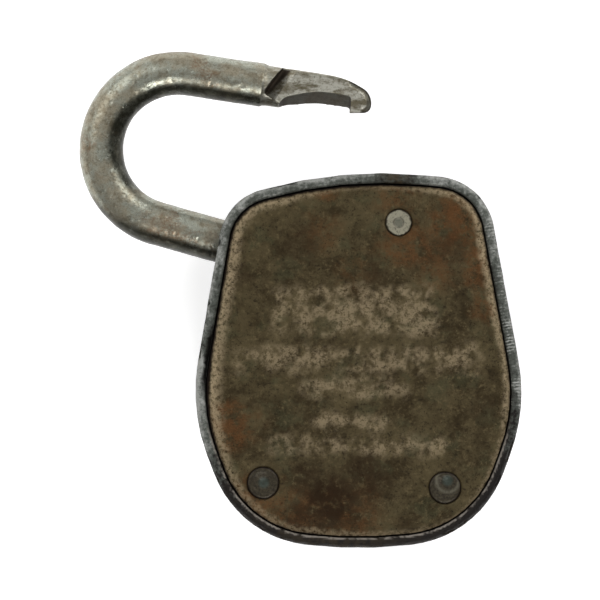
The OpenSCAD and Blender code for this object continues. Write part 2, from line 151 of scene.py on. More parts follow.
def edge_field(points):
    """How far each point is outside the plate's outline, and how far round it lies, in mm."""
    out = np.empty(len(points))
    along = np.empty(len(points))
    for start in range(0, len(points), BATCH):
        batch = slice(start, start + BATCH)
        p = points[batch, :2]
        gaps = ((p[:, None, :] - OUTLINE[None]) ** 2).sum(2)
        near = gaps.argmin(1)
        side = ((p - OUTLINE[near]) * OUTLINE_NORMALS[near]).sum(1)
        out[batch] = np.sqrt(gaps[np.arange(len(p)), near]) * np.sign(side)
        along[batch] = OUTLINE_ALONG[near]
    return out, along


def box_field(points, box, corner):
    """How far each point is outside a box with round corners, in mm."""
    (x0, y0), (x1, y1) = box
    half = np.array([x1 - x0, y1 - y0]) / 2 - corner
    q = np.abs(points[:, :2] - [(x0 + x1) / 2, (y0 + y1) / 2]) - half
    return np.hypot(*np.maximum(q, 0).T) + np.minimum(q.max(1), 0) - corner


# ---------------------------------------------------------------- meshes


def new_object(name, data):
    """A new object in the scene."""
    obj = bpy.data.objects.new(name, data)
    bpy.context.collection.objects.link(obj)
    return obj


def even_copy(node, name, voxel):
    """A new object with the node's shape in even faces about voxel mm wide, to cut wear into."""
    obj = new_object(name, NODES[node].data.copy())
    weld = obj.modifiers.new("weld", "WELD")
    weld.merge_threshold = 1e-6
    remesh = obj.modifiers.new("remesh", "REMESH")
    remesh.mode = "VOXEL"
    remesh.voxel_size = voxel * MM
    ease = obj.modifiers.new("ease", "SMOOTH")
    ease.factor = 0.5
    ease.iterations = 2
    bake_modifiers(obj)
    return obj


def mesh_as_seen(obj):
    """A new mesh with the shape that the object shows, its modifiers included."""
    bpy.context.view_layer.update()
    graph = bpy.context.evaluated_depsgraph_get()
    return bpy.data.meshes.new_from_object(obj.evaluated_get(graph))


def bake_modifiers(obj):
    """Turns the object's modifiers into its mesh."""
    mesh = mesh_as_seen(obj)
    mesh.materials.clear()
    obj.modifiers.clear()
    obj.data = mesh


def coords_of(obj):
    """The object's points in mm."""
    flat = np.empty(len(obj.data.vertices) * 3, np.float32)
    obj.data.vertices.foreach_get("co", flat)
    return flat.reshape(-1, 3).astype(float) / MM


def normals_of(obj):
    """The object's point normals."""
    flat = np.empty(len(obj.data.vertices) * 3, np.float32)
    obj.data.vertices.foreach_get("normal", flat)
    return flat.reshape(-1, 3).astype(float)


def move_points(obj, points):
    """Gives the object new points, in mm."""
    obj.data.vertices.foreach_set("co", (points * MM).astype(np.float32).ravel())
    obj.data.update()


def paint(obj, name, values, limits=(0, 1)):
    """Keeps one number for each point, for the materials to read."""
    layer = obj.data.attributes.new(name, "FLOAT", "POINT")
    layer.data.foreach_set("value", np.clip(values, *limits).astype(np.float32))


def stand_for(obj, node, body):
    """The object takes a CAD node's place on its body, shaded smooth."""
    obj.data.polygons.foreach_set("use_smooth", [True] * len(obj.data.polygons))
    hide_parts(node)
    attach(obj, body)


# ---------------------------------------------------------------- materials


def rgb(red, green, blue):
    """A colour given as 0 to 255, in the linear form that the shader wants."""

    def linear(c):
        c /= 255
        return c / 12.92 if c <= 0.04045 else ((c + 0.055) / 1.055) ** 2.4

    return (linear(red), linear(green), linear(blue), 1.0)


class Paint:
    """One node material, with short names for the nodes that it is made of."""

    def __init__(self, name, metallic=0.0):
        self.material = bpy.data.materials.new(name)
        self.material.use_nodes = True
        self.nodes = self.material.node_tree.nodes
        self.links = self.material.node_tree.links
        self.nodes.clear()
        self.out = self.nodes.new("ShaderNodeOutputMaterial")
        self.shader = self.nodes.new("ShaderNodeBsdfPrincipled")
        self.links.new(self.shader.outputs[0], self.out.inputs[0])
        self.shader.inputs["Metallic"].default_value = metallic
        place = self.nodes.new("ShaderNodeTexCoord").outputs["Object"]
        self.place = self.vector("MULTIPLY", place, (1 / MM,) * 3)

    def put(self, value, socket):
        """Links a node's output to a socket, or sets the socket to a plain value."""
        if isinstance(value, bpy.types.NodeSocket):
            self.links.new(value, socket)
        else:
            socket.default_value = value

    def vector(self, operation, a, b):
        node = self.nodes.new("ShaderNodeVectorMath")
        node.operation = operation
        self.put(a, node.inputs[0])
        self.put(b, node.inputs[1])
        return node.outputs[0]

    def math(self, operation, a, b=0.0):
        node = self.nodes.new("ShaderNodeMath")
        node.operation = operation
        self.put(a, node.inputs[0])
        self.put(b, node.inputs[1])
        return node.outputs[0]

    def attr(self, name):
        """A number that paint() has kept for each point."""
        node = self.nodes.new("ShaderNodeAttribute")
        node.attribute_name = name
        return node.outputs["Fac"]

    def noise(self, size, detail, rough, stretch=(1, 1, 1), shift=0.0):
        """Noise with lumps about size mm across, from about 0.25 to 0.75."""
        node = self.nodes.new("ShaderNodeTexNoise")
        node.inputs["Scale"].default_value = 1.0
        node.inputs["Detail"].default_value = detail
        node.inputs["Roughness"].default_value = rough
        scale = tuple(1 / (size * s) for s in stretch)
        place = self.vector("MULTIPLY", self.place, scale)
        place = self.vector("ADD", place, (shift, shift * 0.7, shift * 0.4))
        self.put(place, node.inputs["Vector"])
        return node.outputs["Fac"]

    def step(self, value, start, stop, low=0.0, high=1.0):
        """low before start, high after stop, and a smooth change between them."""
        node = self.nodes.new("ShaderNodeMapRange")
        node.interpolation_type = "SMOOTHSTEP"
        self.put(value, node.inputs["Value"])
        node.inputs["From Min"].default_value = start
        node.inputs["From Max"].default_value = stop
        node.inputs["To Min"].default_value = low
        node.inputs["To Max"].default_value = high
        return node.outputs["Result"]

    def times(self, a, b):
        return self.math("MULTIPLY", a, b)

    def plus(self, a, b):
        return self.math("ADD", a, b)

    def mix(self, amount, a, b):
        """Colour a, turning to colour b as amount goes from 0 to 1."""
        node = self.nodes.new("ShaderNodeMix")
        node.data_type = "RGBA"
        self.put(amount, node.inputs[0])
        self.put(a, node.inputs[6])
        self.put(b, node.inputs[7])
        return node.outputs[2]

    def blend(self, amount, a, b):
        """Number a, turning to number b as amount goes from 0 to 1."""
        node = self.nodes.new("ShaderNodeMix")
        self.put(amount, node.inputs[0])
        self.put(a, node.inputs[2])
        self.put(b, node.inputs[3])
        return node.outputs[0]

    def finish(self, color, roughness, height, depth):
        """Joins the colour, the roughness and a relief that is depth mm deep to the shader."""
        self.put(color, self.shader.inputs["Base Color"])
        self.put(roughness, self.shader.inputs["Roughness"])
        relief = self.nodes.new("ShaderNodeBump")
        relief.inputs["Strength"].default_value = 1.0
        relief.inputs["Distance"].default_value = depth * MM
        self.put(height, relief.inputs["Height"])
        self.links.new(relief.outputs[0], self.shader.inputs["Normal"])
        return self.material


def plate_metal():
    """Steel with an olive-brown patina, rust stains, fine pits, a worn, paler border and painted
    shadow in the gap at its edge.
    """
    p = Paint("plate_metal", metallic=0.1)
    p.shader.inputs["Specular IOR Level"].default_value = 0.1
    cloud = p.noise(6, 6, 0.65)
    smudge = p.noise(2.3, 5, 0.65, shift=41)
    fine = p.noise(0.8, 6, 0.75, shift=4)
    speck = p.noise(0.3, 3, 0.6, shift=9)
    color = p.mix(p.step(cloud, 0.36, 0.64), rgb(46, 37, 20), rgb(71, 62, 41))
    color = p.mix(p.step(smudge, 0.42, 0.64, 0, 0.55), color, rgb(80, 70, 48))
    green = p.times(p.step(p.noise(5, 5, 0.65, shift=21), 0.5, 0.64), 0.4)
    color = p.mix(green, color, rgb(64, 65, 45))
    color = p.mix(p.step(fine, 0.52, 0.7, 0, 0.7), color, rgb(100, 88, 62))
    color = p.mix(p.step(fine, 0.47, 0.32, 0, 0.85), color, rgb(30, 23, 11))
    rust = p.times(p.attr("rust"), p.step(p.noise(1.8, 6, 0.72, shift=13), 0.36, 0.6))
    color = p.mix(p.times(rust, 0.8), color, rgb(84, 55, 28))
    color = p.mix(p.times(rust, p.step(speck, 0.5, 0.62, 0, 0.6)), color, rgb(98, 64, 38))
    stain = p.times(p.attr("stain"), p.step(p.noise(1.6, 6, 0.72, shift=31), 0.3, 0.52))
    color = p.mix(p.times(stain, 0.9), color, rgb(34, 20, 5))
    worn = p.times(p.attr("worn"), p.step(p.noise(0.6, 5, 0.75, shift=17), 0.34, 0.58))
    color = p.mix(p.times(worn, 0.9), color, rgb(160, 143, 114))
    # Painted shadow in the gap at the plate's edge, and dark dirt round the rivets
    color = p.mix(p.attr("dirt_and_shade"), color, rgb(20, 12, 6))
    pits = p.step(speck, 0.3, 0.38)
    pitted = p.step(p.noise(4, 3, 0.6, shift=51), 0.42, 0.6, 0.25, 1)
    color = p.mix(p.times(pitted, p.step(speck, 0.39, 0.32, 0, 0.9)), color, rgb(20, 13, 6))
    rough = p.blend(worn, p.step(cloud, 0.3, 0.7, 0.66, 0.52), 0.48)
    height = p.plus(p.times(fine, 0.9), p.times(pits, 0.5))
    return p.finish(color, rough, height, 0.05)


def case_metal():
    """Grey die casting: light where it is rubbed, dark green-black and brown in dirty patches,
    black as painted shade in the gap to the plate, and with a painted highlight along the rim's
    inner edge.
    """
    p = Paint("case_metal")
    cloud = p.noise(2.4, 5, 0.65)
    fine = p.noise(0.5, 5, 0.7, shift=5)
    tone = p.plus(p.attr("tone"), p.times(p.plus(cloud, -0.5), 1.3))
    tone = p.plus(tone, p.times(p.plus(fine, -0.5), 1.0))
    p.shader.inputs["Specular IOR Level"].default_value = 0.2
    p.put(p.step(tone, 0.0, 0.6, 0.0, 0.3), p.shader.inputs["Metallic"])
    ridges = p.times(p.attr("filed"), p.math("SINE", p.times(p.attr("along"), 12.0)))
    ridges = p.times(ridges, p.step(cloud, 0.4, 0.6))
    tone = p.plus(tone, p.times(ridges, 0.3))
    color = p.mix(p.step(tone, 0.05, 0.5), rgb(18, 13, 10), rgb(78, 81, 75))
    color = p.mix(p.step(tone, 0.42, 0.95), color, rgb(154, 155, 150))
    brown = p.times(p.attr("brown"), p.step(p.noise(1.4, 5, 0.7, shift=11), 0.35, 0.6))
    color = p.mix(p.times(brown, 0.8), color, rgb(62, 52, 34))
    # A painted highlight: a thin light line along the rim's inner edge, on the lower side only
    color = p.mix(p.attr("painted_highlight"), color, rgb(168, 160, 150))
    # Painted shade: black inside the rim, in the gap to the plate, and in the sunk broken lip
    color = p.mix(p.attr("dirt_and_shade"), color, rgb(10, 7, 5))
    rough = p.step(tone, 0.1, 0.9, 0.62, 0.4)
    height = p.plus(fine, p.times(p.step(p.noise(0.22, 2, 0.5, shift=2), 0.35, 0.5), 0.4))
    height = p.plus(height, p.times(ridges, 0.5))
    return p.finish(color, rough, height, 0.07)


def shackle_steel():
    """Rubbed steel: grey and warm brown where hands wear it, painted dark and greenish as shade on
    the side away from the light.
    """
    p = Paint("shackle_steel", metallic=0.7)
    cloud = p.noise(3.5, 5, 0.6, shift=3)
    fine = p.noise(0.7, 6, 0.75, shift=8)
    speck = p.noise(0.4, 4, 0.7, shift=15)
    color = p.mix(p.step(cloud, 0.38, 0.64), rgb(160, 163, 150), rgb(150, 143, 124))
    color = p.mix(p.step(fine, 0.5, 0.68, 0, 0.5), color, rgb(104, 94, 70))
    color = p.mix(p.step(fine, 0.45, 0.3, 0, 0.5), color, rgb(192, 193, 180))
    blotch = p.noise(1.5, 5, 0.7, shift=37)
    color = p.mix(p.step(blotch, 0.5, 0.62, 0, 0.5), color, rgb(98, 86, 62))
    dots = p.step(p.noise(0.28, 3, 0.7, shift=27), 0.5, 0.64, 0, 0.4)
    color = p.mix(dots, color, rgb(78, 70, 50))
    rust = p.times(p.attr("rust"), p.step(speck, 0.4, 0.6, 0, 0.7))
    color = p.mix(rust, color, rgb(122, 96, 72))
    # Painted shade, dark and greenish, on the side of the rod away from the light
    dark = p.times(p.attr("painted_shade"), p.step(p.noise(1.8, 5, 0.7, shift=19), 0.3, 0.6, 0.75, 1))
    color = p.mix(p.times(dark, 0.97), color, rgb(34, 34, 23))
    streak = p.noise(1.3, 5, 0.65, stretch=(3, 1, 1), shift=33)
    flat = p.mix(p.step(streak, 0.4, 0.6), rgb(182, 180, 168), rgb(108, 102, 84))
    flat = p.mix(p.step(fine, 0.48, 0.64, 0, 0.7), flat, rgb(88, 80, 62))
    color = p.mix(p.attr("cut"), color, flat)
    # Painted shade in the toe's groove and on the cut's steep walls, and a darker band on the
    # bevelled end
    color = p.mix(p.attr("pocket"), color, rgb(50, 42, 32))
    color = p.mix(p.step(speck, 0.37, 0.3, 0, 0.75), color, rgb(38, 31, 23))
    rough = p.plus(p.step(cloud, 0.3, 0.7, 0.24, 0.34), p.step(fine, 0.4, 0.65, 0.0, 0.12))
    rough = p.blend(p.attr("cut"), rough, 0.45)
    rough = p.blend(p.attr("pocket"), rough, 0.65)
    height = p.plus(p.times(p.step(speck, 0.3, 0.42), 0.5), p.times(fine, 0.5))
    return p.finish(color, rough, height, 0.028)


def rivet_metal():
    """Peened rivet ends, dull brown with a greyer, rubbed hollow, or rubbed pale."""
    p = Paint("rivet_metal", metallic=0.3)
    p.shader.inputs["Specular IOR Level"].default_value = 0.25
    fine = p.noise(0.45, 5, 0.7)
    color = p.mix(p.step(fine, 0.35, 0.65), rgb(36, 30, 20), rgb(62, 56, 42))
    hollow = p.times(p.attr("hollow"), p.step(fine, 0.25, 0.55, 0.5, 1))
    color = p.mix(hollow, color, rgb(54, 61, 54))
    pale = p.times(p.attr("pale"), p.step(p.noise(0.45, 5, 0.75, shift=6), 0.32, 0.5, 0.25, 1))
    color = p.mix(pale, color, rgb(142, 138, 120))
    # Dark dirt at the edges of the heads
    color = p.mix(p.attr("dirt_and_shade"), color, rgb(28, 19, 12))
    return p.finish(color, p.step(fine, 0.3, 0.7, 0.5, 0.38), fine, 0.05)


def plain_metal(name, dark, light):
    """A metal in two mottled tones with a faint, uneven sheen."""
    p = Paint(name, metallic=0.9)
    cloud = p.noise(1.2, 5, 0.6)
    fine = p.noise(0.3, 4, 0.7, shift=5)
    color = p.mix(p.step(p.plus(p.times(cloud, 0.7), p.times(fine, 0.3)), 0.38, 0.62), dark, light)
    return p.finish(color, p.step(fine, 0.3, 0.7, 0.27, 0.45), fine, 0.02)


def knob_metal():
    """Dull cast metal, rubbed bright on the ridges between the finger grooves."""
    p = Paint("knob_metal", metallic=0.7)
    fine = p.noise(0.5, 5, 0.7)
    color = p.mix(p.step(fine, 0.35, 0.65), rgb(66, 64, 60), rgb(104, 102, 98))
    rubbed = p.times(p.attr("worn"), p.step(p.noise(1.1, 4, 0.6, shift=4), 0.3, 0.6))
    color = p.mix(rubbed, color, rgb(160, 160, 156))
    # Darker towards the dial
    color = p.mix(p.attr("dirt_and_shade"), color, rgb(34, 28, 22))
    return p.finish(color, p.step(fine, 0.3, 0.7, 0.36, 0.55), fine, 0.05)


def dial_enamel():
    """Black enamel, scratched, and chipped to bare metal at its edge."""
    p = Paint("dial_enamel")
    fine = p.noise(0.6, 5, 0.7)
    color = p.mix(p.step(fine, 0.35, 0.65), rgb(20, 19, 18), rgb(34, 31, 28))
    chipped = p.times(p.attr("worn"), p.step(p.noise(0.8, 5, 0.75, shift=7), 0.47, 0.55))
    color = p.mix(chipped, color, rgb(120, 112, 100))
    height = p.plus(fine, p.times(chipped, -1.5))
    return p.finish(color, p.blend(chipped, p.step(fine, 0.3, 0.7, 0.3, 0.45), 0.6), height, 0.04)


def number_paint():
    """Pale paint in the dial's marks, yellowed and patchy."""
    p = Paint("number_paint")
    fine = p.noise(0.35, 4, 0.7)
    color = p.mix(p.step(fine, 0.4, 0.65), rgb(196, 188, 164), rgb(150, 140, 116))
    return p.finish(color, 0.6, fine, 0.02)


MATERIALS = {
    "plate_metal": plate_metal(),
    "case_metal": case_metal(),
    "shackle_steel": shackle_steel(),
    "rivet_metal": rivet_metal(),
    "knob_metal": knob_metal(),
    "dial_enamel": dial_enamel(),
    "number_paint": number_paint(),
    "pin_steel": plain_metal("pin_steel", rgb(104, 102, 98), rgb(148, 146, 142)),
    "wheel_brass": plain_metal("wheel_brass", rgb(112, 88, 46), rgb(168, 138, 78)),
}


def wear(obj, slot):
    """Gives the object the material of its slot."""
    obj.data.materials.clear()
    obj.data.materials.append(MATERIALS[slot])


# ---------------------------------------------------------------- back plate

PLATE_VOXEL = 0.24
# The plate's edge is rounded by this much, and the strip next to it is sunk by this much
EDGE_ROUNDING = 0.42
STRIP_DEPTH = 0.1
# How deep the plate is sunk round the rivet heads
RIVET_GROOVE = 0.16
# Where the plate is left bare and rubbed, in place of its pressed lettering
BARE_BANDS = [
    ((-14.2, 6.7), (13.2, 15.4)),
    ((-21.4, 0.9), (20.4, 5.4)),
    ((-9.7, -3.1), (8.6, 0.1)),
    ((-7.9, -8.7), (5.8, -5.9)),
    ((-15.1, -12.9), (14.8, -9.6)),
]
# How far in from its edge the plate is painted black as shadow in its gap to the case: angle from
# the dial's axis, width
GAP_WIDTHS = [
    (-180, 0.5),
    (-150, 0.2),
    (-120, 0.08),
    (-60, 0.0),
    (-30, 0.05),
    (0, 0.05),
    (30, 0.1),
    (60, 0.15),
    (90, 0.3),
    (115, 0.25),
    (140, 0.25),
    (165, 0.3),
    (180, 0.5),
]
# The plate's paler border: angle from the dial's axis, width, strength
BORDER = [
    (-180, 3.6, 0.95),
    (-150, 2.4, 0.7),
    (-120, 1.4, 0.55),
    (-90, 1.0, 0.55),
    (-60, 0.8, 0.35),
    (-30, 1.1, 0.6),
    (0, 1.5, 0.85),
    (30, 1.8, 1.0),
    (50, 1.8, 1.0),
    (66, 1.6, 0.8),
    (76, 1.2, 0.45),
    (95, 1.0, 0.4),
    (112, 2.0, 0.75),
    (135, 2.8, 0.9),
    (165, 3.0, 0.8),
    (180, 3.6, 0.95),
]
BAND_CORNER = 2.0
# Places stained by rust, and by dark dirt: across, up, radius, strength
RUSTY_PLACES = [
    (16.5, 26, 7, 1),
    (20, 19, 5, 1),
    (21.5, 12, 4, 0.8),
    (8, 22, 6, 0.8),
    (13, 18, 5, 0.6),
    (-6, 24, 5, 0.5),
    (-5.5, 31.5, 3, 0.9),
    (6, 31, 6, 0.5),
    (-22, -8, 7, 0.9),
    (-18, -21, 6, 0.8),
    (-11, -23, 7, 0.7),
    (-2, -24, 9, 0.6),
    (0, 18, 5, 0.3),
]
DARK_PLACES = [
    (-4.5, -20.5, 7.5, 1),
    (1.5, -16.5, 5.5, 0.8),
    (-9, -17, 5, 0.6),
    (-8, -24, 6, 0.8),
    (-2, -27.5, 3, 0.9),
    (-9, 22, 5, 0.5),
    (3, 17.5, 3, 0.6),
    (16, 21.5, 4, 0.5),
    (-20, 17, 3.5, 0.5),
    (21, -6, 4, 0.4),
    (8, -26, 3, 0.4),
]


def places(points, spots, seed):
    """How strongly each point lies in one of the spots, with ragged borders."""
    ragged = 1 + 0.35 * lumps(points, 3.0, 3, seed)
    total = np.zeros(len(points))
    for x, y, radius, strength in spots:
        away = radius_from(points, (x, y)) / (radius * ragged)
        total = np.maximum(total, strength * (1 - smooth(away, 0.3, 1.0)))
    return total


def rivet_rings(points, width):
    """A soft line along the edge of each rivet head."""
    total = np.zeros(len(points))
    for rivet in RIVETS:
        away = radius_from(points, middle(rivet)[:2])
        total = np.maximum(total, bump(away, head_radius(rivet), width))
    return total


def back_plate():
    """The plate: rounded at its edge, sunk and rubbed in places, pitted and stained."""
    obj = even_copy("back_plate", "back_plate_worn", PLATE_VOXEL)
    points = coords_of(obj)
    inside = -edge_field(points)[0]
    top = smooth(points[:, 2], PLATE_Z - 0.5, PLATE_Z - 0.1)
    fine = lumps(points, 1.1, 3, 2)
    wide = lumps(points, 9.0, 2, 3)

    # How far each point of the top face is lowered: edge, strip, waves and pits
    drop = EDGE_ROUNDING * (1 - smooth(inside, -0.1, 0.9))
    drop += STRIP_DEPTH * (1 - smooth(inside, 0.5, 3.0))
    drop += 0.035 * wide + 0.012 * fine
    drop += 0.05 * smooth(lumps(points, 0.8, 2, 7), 0.45, 0.7)
    angle = angle_of(points)
    angles, widths, strengths = np.array(BORDER).T
    reach = np.interp(angle, angles, widths)
    worn = 1 - smooth(inside + 0.35 * fine + 0.2 * wide, 0.25 * reach, reach)
    worn *= np.interp(angle, angles, strengths)
    for box in BARE_BANDS:
        away = box_field(points, box, BAND_CORNER) + 0.3 * fine + 0.9 * lumps(points, 3.5, 3, 9)
        drop += 0.03 * (1 - smooth(away, -1.0, 1.0))
        patchy = smooth(lumps(points, 2.0, 4, 8), -0.5, 0.4)
        worn = np.maximum(worn, 0.55 * patchy * (1 - smooth(away, -1.3, 1.0)))
    drop += RIVET_GROOVE * rivet_rings(points, 0.16)
    points[:, 2] -= drop * top
    move_points(obj, points)

    paint(obj, "worn", worn)
    paint(obj, "rust", places(points, RUSTY_PLACES, 5))
    paint(obj, "stain", places(points, DARK_PLACES, 6))
    # Painted shadow: the plate's sides, and a band along its edge that is widest on the left and at
    # the top, are dark as the shade in its gap to the case; a dark line of dirt also rings each
    # rivet head
    sunk = np.interp(angle, *np.array(GAP_WIDTHS).T)
    edge = 1 - smooth(inside + 0.15 * fine, sunk - 0.15, sunk + 0.2)
    edge = np.maximum(edge, 0.6 * rivet_rings(points, 0.11))
    paint(obj, "dirt_and_shade", np.maximum((1 - top) * 0.9, edge))
    wear(obj, "plate_metal")
    stand_for(obj, "back_plate", "lock_case")


# ---------------------------------------------------------------- case

CASE_VOXEL = 0.34
# The thinned part of the case lies this far below the plate's top and this near to its outline
THIN_BELOW = 1.9
THIN_WITHIN = 0.6
# It leaves out the shackle's openings, above and beside these, and a disc round the spindle
OPENINGS_UP = 6
OPENINGS_ACROSS = 7
SPINDLE_DISC = 5
# The share of faces that stays. A lower one asks more of the thinned part than it can give, and
# leaves stray faces.
THIN_RATIO = 0.7
# How deep the rim is chipped, how far its outer and inner edges are rounded, and how deep the
# broken lip and the nick are
CHIP_DEPTH = 0.45
OUTER_ROUNDING = 0.38
INNER_ROUNDING = 0.12
BREAK_DEPTH = 0.9
NICK_DEPTH = 0.5
# Where the nick lies: across
NICK_ACROSS = 9.2
# How light the rim is round the case: angle from the dial's axis, lightness
RIM_TONES = [
    (-180, 0.75),
    (-168, 0.55),
    (-150, 0.3),
    (-125, -0.1),
    (-90, -0.3),
    (-60, -0.3),
    (-38, -0.1),
    (-20, 0.2),
    (0, 0.5),
    (20, 0.45),
    (40, 0.45),
    (55, 0.55),
    (70, 0.6),
    (76, 0.25),
    (84, 0.25),
    (90, 0.5),
    (110, 0.5),
    (130, 0.5),
    (145, 0.5),
    (158, 0.35),
    (168, 0.3),
    (174, 0.8),
    (180, 0.75),
]


def thin_hidden_faces(obj):
    """Merges faces inside the case, where they are hidden by the plate."""
    points = coords_of(obj)
    out = edge_field(points)[0]
    hidden = (points[:, 2] < PLATE_Z - THIN_BELOW) & (out < THIN_WITHIN)
    hidden &= (points[:, 1] < OPENINGS_UP) | (np.abs(points[:, 0]) < OPENINGS_ACROSS)
    hidden &= radius_from(points) > SPINDLE_DISC
    group = obj.vertex_groups.new(name="hidden")
    group.add(np.nonzero(hidden)[0].tolist(), 1.0, "REPLACE")
    thin = obj.modifiers.new("thin", "DECIMATE")
    thin.ratio = THIN_RATIO
    thin.vertex_group = "hidden"
    thin.vertex_group_factor = 10
    bake_modifiers(obj)
    obj.vertex_groups.clear()


def case():
    """The case: rim rounded, chipped, broken and filed, walls rough, and the inside thinned."""
    obj = even_copy("case", "case_worn", CASE_VOXEL)
    thin_hidden_faces(obj)
    points = coords_of(obj)
    normals = normals_of(obj)
    out, along = edge_field(points)
    across = out - PLATE_GAP
    angle = angle_of(points)
    near_top = smooth(points[:, 2], RIM_Z - 1.6, RIM_Z - 0.2)
    outer = smooth(across, 0.7, 1.5)
    inner = 1 - smooth(across, 0.0, 0.7)
    fine = lumps(points, 1.0, 3, 11)
    wide = lumps(points, 5.0, 3, 12)

    # Round the rim's edges, then chip it
    points[:, 2] -= near_top * (OUTER_ROUNDING * outer**2 + INNER_ROUNDING * inner)
    chips = smooth(lumps(points, 2.6, 3, 14), 0.32, 0.6) * smooth(across, 0.9, 1.6) * near_top
    points[:, 2] -= CHIP_DEPTH * chips
    points[:, :2] -= 0.2 * chips[:, None] * normals[:, :2]
    points[:, 2] -= near_top * (0.05 * wide + 0.03 * fine)
    filed = smooth(angle, -30, -10) * (1 - smooth(angle, 42, 60))
    # Eat into the rim's lower edge and, a little, into all the walls
    rough_edge = smooth(-points[:, 1], 0, 14) * near_top * smooth(across, 1.0, 1.8)
    points += normals * (rough_edge * 0.16 * (lumps(points, 1.8, 3, 15) - 1))[:, None]
    walls = (out > 0.9).astype(float)
    points += normals * (walls * (0.05 * (wide - 1) + 0.02 * (fine - 1)))[:, None]

    # The spindle's hole stays round and clear of it
    bore = radius_from(coords_of(NODES["case"])).min()
    radial = radius_from(points)
    pushed = np.maximum(radial, bore + 0.1) / radial
    points[:, :2] *= np.where(radial < bore + 0.4, pushed, 1)[:, None]

    # The broken lip on the left side, and the nick in the top
    lip = smooth(points[:, 1], -4, 1) * (1 - smooth(points[:, 1], 6.5, 8.5)) * (points[:, 0] < 0)
    broken = lip * near_top * (1 - smooth(across + 0.3 * fine, 0.35, 0.8))
    points[:, 2] -= BREAK_DEPTH * broken
    nick = bump(points[:, 0], NICK_ACROSS, 0.7) * (points[:, 1] > 25) * near_top
    nick *= smooth(across, 0.8, 1.4)
    points[:, 2] -= NICK_DEPTH * nick
    move_points(obj, points)

    tone = np.interp(angle, *np.array(RIM_TONES).T)
    side = 1 - smooth(points[:, 2], RIM_Z - 1.3, RIM_Z - 0.5)
    tone = tone * (1 - 0.45 * side) + 0.12 * fine
    paint(obj, "tone", tone + 0.25 * outer * (1 - side) * (tone > 0.3), (-1, 1.5))
    brown = bump(points[:, 0], 6.2, 2.2) * (points[:, 1] > 28) + 0.5 * bump(angle, -100, 30)
    paint(obj, "brown", brown + 0.35 * side)
    paint(obj, "filed", filed * (1 - side) * smooth(wide + fine, -0.8, 0.3))
    paint(obj, "along", along, (along.min(), along.max()))
    # A painted highlight: a thin light line along the rim's inner edge, on the lower side only
    highlight_line = (1 - smooth(np.abs(across - 0.12), 0.05, 0.22)) * near_top
    paint(obj, "painted_highlight", 0.7 * highlight_line * smooth(-points[:, 1], 6, 12) * smooth(fine, -0.5, 0.1))
    # Painted shade: black inside the rim, in the gap to the plate, and in the sunk broken lip
    paint(obj, "dirt_and_shade", (1 - smooth(across, -0.12, 0.05)) + broken)
    wear(obj, "case_metal")
    stand_for(obj, "case", "lock_case")


# ---------------------------------------------------------------- shackle

SHACKLE_VOXEL = 0.2
# The toe lies above this
TOE_UP = 35
# How deep the hook's end is bevelled, and how much thinner the toe is worn
BEVEL_DEPTH = 0.55
TOE_WEAR = 0.1
# The way the rod's shaded side faces, away from the light, where shade is painted dark
SHADE_FACING = np.array([0.9, -0.44, 0])
# The toe's flat: its height above the middle of the rod
FLAT_Z = 1.2
# The groove in front of the flat: how far from the mount its dark part ends, and its slant
GROOVE_END = 8.3
GROOVE_SLANT = 0.75


